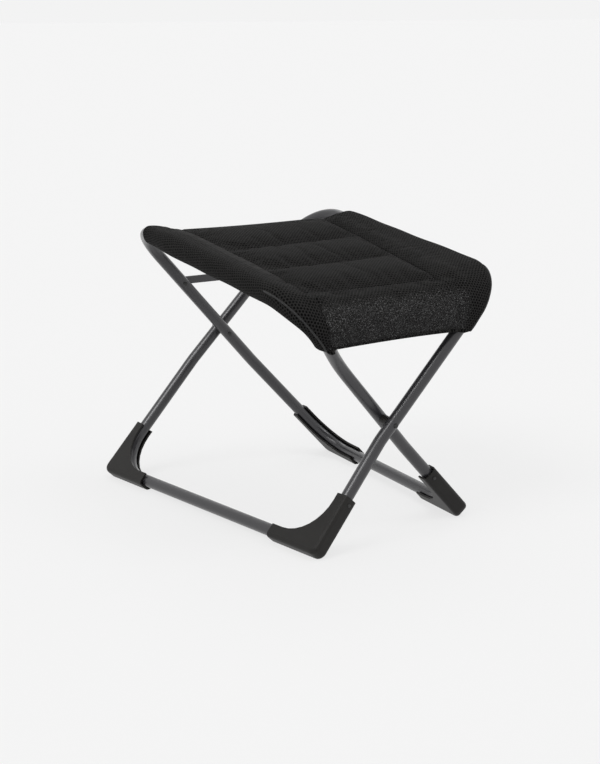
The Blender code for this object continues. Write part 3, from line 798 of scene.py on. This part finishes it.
def build_seat():
    grid = Grid()
    points, weave = cloth_points(grid)
    rows, columns = points.shape[:2]
    faces = grid_faces(rows, columns)
    points = simulate(points, faces, held_points(grid))
    points = pucker(grid, points)
    normal = normals_of(points)

    mesh_cloth = air_mesh("air_mesh_black", False)
    sparkle_cloth = air_mesh("air_mesh_sparkle", True)
    lining = woven("backing_weave", 0.018, 5200.0)
    tape = woven("binding_tape", 0.022, 7000.0)
    sewing = thread()

    row_segment = [row[0] for row in grid.rows]
    kinds = grid.kinds
    # The masks: where the print lies, and the strip painted lighter as light falling on the left
    # sleeve's inner web.
    masks = {"speckle": speckle_mask(grid), "painted_light_strip": painted_light_strip_mask(grid)}

    def cells(wanted):
        found = []
        for i in range(rows - 1):
            segment = min(row_segment[i], row_segment[i + 1])
            for j in range(columns):
                kind = kinds[j]
                if wanted(segment, kind, grid.sides[j], grid.shares[j]):
                    found.append((i, j))
        return found

    for name, segment in (("rear", 0), ("middle", 1), ("front", 2)):
        chosen = cells(lambda s, kind, _side, _share: s == segment and kind == "top")
        pad = piece_from(f"channel_{name}", points, weave, chosen, mesh_cloth)
        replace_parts(folds_with_seat(pad), f"seat_channel_{name}")
    chosen = cells(lambda s, kind, _side, _share: s == 3 and kind == "top")
    roll = piece_from("front_roll", points, weave, chosen, sparkle_cloth, masks)
    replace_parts(folds_with_seat(roll), "seat_front_roll")
    for hand, sign in (("left", -1), ("right", 1)):
        chosen = cells(
            lambda _s, kind, side, _share: kind in ("web", "round", "under_web") and side == sign
        )
        panel = piece_from(f"side_panel_{hand}", points, weave, chosen, sparkle_cloth, masks)
        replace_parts(folds_with_seat(panel), f"seat_bolster_{hand}", f"seat_sleeve_{hand}")
    chosen = cells(lambda _s, kind, _side, _share: kind == "under")
    under = piece_from("backing", points, weave, chosen, lining, thickness=LINING)
    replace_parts(folds_with_seat(under), "seat_backing")

    # Sewn lines: cross seams, side seams, and rows along the hems
    starts = [grid.END_ROWS]
    for count in grid.ROWS:
        starts.append(starts[-1] + count)
    top = [j for j in range(columns) if kinds[j] == "top"] + [grid.CENTRE]
    lines = []
    for at in starts[1:4]:
        lines.append((points[at, top], normal[at, top]))
    first, last = starts[0], starts[3]
    for j in (0, grid.CENTRE):
        lines.append((points[first : last + 1, j], normal[first : last + 1, j]))
    hem = starts[0] + 2
    lines.append((points[hem, top], normal[hem, top]))
    stitched = stitches("seam_stitching", lines, sewing)
    folds_with_seat(stitched)

    # Rear hem: a turned edge along the back of the middle of the seat
    rim = starts[0] - 2
    path = points[rim, top] + normal[rim, top] * HEM_LIFT
    hem_cord = cord_piece("rear_hem", [path], HEM_R, tape, 10)
    folds_with_seat(hem_cord)

    # Rolled rim along the lower front edge, out to the bars
    rim = rows - grid.END_ROWS
    across = grid.across_share()
    upper = [j for j in range(columns) if kinds[j] in ("top", "web")] + [grid.CENTRE]
    upper = sorted(set(upper), key=lambda j: across[j])
    path = points[rim, upper] - normal[rim, upper] * RIM_SINK
    rolled = cord_piece("front_rim", [path], RIM_R, mesh_cloth, 12)
    folds_with_seat(rolled)

    # Binding down each front corner, over the bar
    begin = starts[2] + BINDING_ROW
    for hand, sign in (("left", -1), ("right", 1)):
        rounds = [j for j in range(columns) if kinds[j] == "round" and grid.sides[j] == sign]
        rounds.sort(key=lambda j: grid.shares[j])
        path = []
        for i in range(begin, rows - 3):
            share = 0.34 - 0.24 * (i - begin) / (rows - 3 - begin)
            spot = share * (len(rounds) - 1)
            a, b = rounds[int(spot)], rounds[min(int(spot) + 1, len(rounds) - 1)]
            mixed = points[i, a] + (points[i, b] - points[i, a]) * (spot - int(spot))
            path.append(mixed + normal[i, a] * BINDING_LIFT)
        cord = cord_piece(f"corner_binding_{hand}", [np.array(path)], BINDING_R, tape, 10)
        folds_with_seat(cord)


def painted_light_strip_mask(grid):
    """Where the strip of painted light lies: on the inner face of the left sleeve."""
    mask = np.zeros((len(grid.rows), len(grid.kinds)))
    web = (grid.kinds == "web") & (grid.sides < 0)
    strip = smooth((grid.shares - 0.05) / 0.12) * smooth((0.68 - grid.shares) / 0.25)
    for i, (segment, share, _end, _towards) in enumerate(grid.rows):
        along = 1 - smooth((segment + share - 2.1) / 0.9)
        mask[i] = np.where(web, strip * along, 0)
    return mask


def speckle_mask(grid):
    """Where the sparkle is printed: the front face, fading out at its top and its sides."""
    across = grid.across_share()
    mask = np.zeros((len(grid.rows), len(grid.kinds)))
    for i, (segment, share, _end, _towards) in enumerate(grid.rows):
        if segment < 3:
            continue
        fade = float(smooth((share - 0.26) / 0.22)) * (1 - float(smooth((share - 0.93) / 0.06)))
        left, right = 0.74 + 0.06 * share, 0.90 + 0.02 * share
        sides = smooth((right - across) / 0.16) * smooth((left + across) / 0.07)
        facing = np.isin(grid.kinds, ("top", "web")) | (grid.kinds == "round") & (grid.shares < 0.2)
        mask[i] = fade * sides * facing
    return mask


def build_tube(side, finish):
    """The loop's tube again, much rounder than the CAD's, in the same place."""
    hand = -1 if side == "inner" else 1
    flat = rounded(loop_corners(side), math.radians(1.5))
    spread_flat = []
    for a, b in zip(flat, np.roll(flat, -1, axis=0)):
        pieces = max(1, int(np.linalg.norm(b - a) / 0.012))
        spread_flat += [a + (b - a) * k / pieces for k in range(pieces)]
    flat = np.array(spread_flat)
    up = RISE * math.cos(SPREAD) + hand * np.array((math.sin(SPREAD), 0, 0))
    centres = PIVOT + flat[:, :1] * AXIS + flat[:, 1:] * up
    along = np.roll(centres, -1, axis=0) - np.roll(centres, 1, axis=0)
    along /= np.linalg.norm(along, axis=1, keepdims=True)
    flat_normal = np.cross(AXIS, up)
    sideways = np.cross(along, flat_normal)
    turns = np.arange(TUBE_SIDES) * 2 * math.pi / TUBE_SIDES
    rings = centres[:, None] + TUBE_R * (
        np.cos(turns)[None, :, None] * sideways[:, None] + np.sin(turns)[None, :, None] * flat_normal
    )
    count = len(centres)
    faces = []
    for i in range(count):
        j = (i + 1) % count
        for m in range(TUBE_SIDES):
            n = (m + 1) % TUBE_SIDES
            faces.append(tuple(a * TUBE_SIDES + b for a, b in ((i, m), (j, m), (j, n), (i, n))))
    made = mesh_object(f"{side}_tube", rings.reshape(-1, 3), faces)
    made.data.materials.append(finish)
    made.data.shade_smooth()
    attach(made, f"{side}_frame")
    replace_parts(made, f"{side}_frame_tube")


def dress_frame():
    finishes = {
        "frame_paint": painted_metal("frame_powder_coat", 0.021, 0.34),
        "link_steel": painted_metal("link_powder_coat", 0.026, 0.42),
        "cap_plastic": moulded_plastic(),
        "fastener_black": blackened_steel(),
    }
    slots = {row["node"]: row["material_slot"] for row in frame["record"]["subparts"]}
    for name, node in frame["nodes"].items():
        chosen = finishes.get(slots[name])
        if chosen is None:
            continue
        if not node.material_slots:
            node.data.materials.append(chosen)
        for place in node.material_slots:
            place.material = chosen
        if slots[name] in EDGE_ROUNDING:
            soft = node.modifiers.new("soft_edges", "BEVEL")
            soft.width = EDGE_ROUNDING[slots[name]]
            soft.segments = 3
            soft.limit_method = "ANGLE"
            soft.angle_limit = math.radians(35)
            soft.harden_normals = True
    for side in ("inner", "outer"):
        build_tube(side, finishes["frame_paint"])


def build_stage():
    """A pale floor and a pale surround of the same brightness, with soft boxes high up in it."""
    far = FLOOR_SIZE
    corners = [(-far, -far, 0), (far, -far, 0), (far, far, 0), (-far, far, 0)]
    floor = mesh_object("studio_floor", corners, [(0, 1, 2, 3)])
    n = Nodes("studio_floor_paper", Roughness=1.0, Specular_IOR_Level=0.0)
    n.set(Base_Color=grey(FLOOR_GREY), Emission_Color=grey(1.0), Emission_Strength=FLOOR_GLOW)
    floor.data.materials.append(n.material)

    world = bpy.data.worlds.new("studio")
    world.use_nodes = True
    tree = world.node_tree
    backdrop = tree.nodes["Background"]
    towards = tree.nodes.new("ShaderNodeTexCoord").outputs["Generated"]

    def plus(a, b):
        made = tree.nodes.new("ShaderNodeMath")
        tree.links.new(a, made.inputs[0])
        if isinstance(b, bpy.types.NodeSocket):
            tree.links.new(b, made.inputs[1])
        else:
            made.inputs[1].default_value = b
        return made.outputs[0]

    total = None
    for azimuth, elevation, width, strength in SOFT_BOXES:
        a, e = math.radians(azimuth), math.radians(elevation)
        centre = (math.sin(a) * math.cos(e), -math.cos(a) * math.cos(e), math.sin(e))
        dot = tree.nodes.new("ShaderNodeVectorMath")
        dot.operation = "DOT_PRODUCT"
        tree.links.new(towards, dot.inputs[0])
        dot.inputs[1].default_value = centre
        edge = tree.nodes.new("ShaderNodeMapRange")
        edge.interpolation_type = "SMOOTHSTEP"
        tree.links.new(dot.outputs["Value"], edge.inputs[0])
        edge.inputs[1].default_value = math.cos(math.radians(width))
        edge.inputs[2].default_value = math.cos(math.radians(width * 0.75))
        edge.inputs[4].default_value = strength
        total = edge.outputs[0] if total is None else plus(total, edge.outputs[0])
    tree.links.new(plus(total, SURROUND), backdrop.inputs[0])
    backdrop.inputs[1].default_value = 1.0
    bpy.context.scene.world = world


def build_camera():
    azimuth, elevation = (math.radians(angle) for angle in CAMERA_ANGLES)
    back = Vector(
        (
            math.sin(azimuth) * math.cos(elevation),
            -math.cos(azimuth) * math.cos(elevation),
            math.sin(elevation),
        )
    )
    right = Vector((math.cos(azimuth), math.sin(azimuth), 0))
    camera = bpy.data.cameras.new("view")
    camera.sensor_width = 36.0
    camera.lens = LENS
    camera.shift_y = LENS_SHIFT
    camera.clip_start, camera.clip_end = 0.05, 200.0
    made = bpy.data.objects.new("view", camera)
    offset = Vector((PIVOT[0], PIVOT[1], 0))
    aside, high, away = CAMERA_AT
    made.location = offset + (right * aside + Vector((0, 0, high)) + back * away) * CAMERA_SCALE
    made.rotation_euler = (-back).to_track_quat("-Z", "Y").to_euler()
    bpy.context.collection.objects.link(made)
    bpy.context.scene.camera = made


def main():
    build_camera()
    build_stage()
    dress_frame()
    build_seat()
    bpy.context.scene.view_settings.view_transform = "Standard"


main()
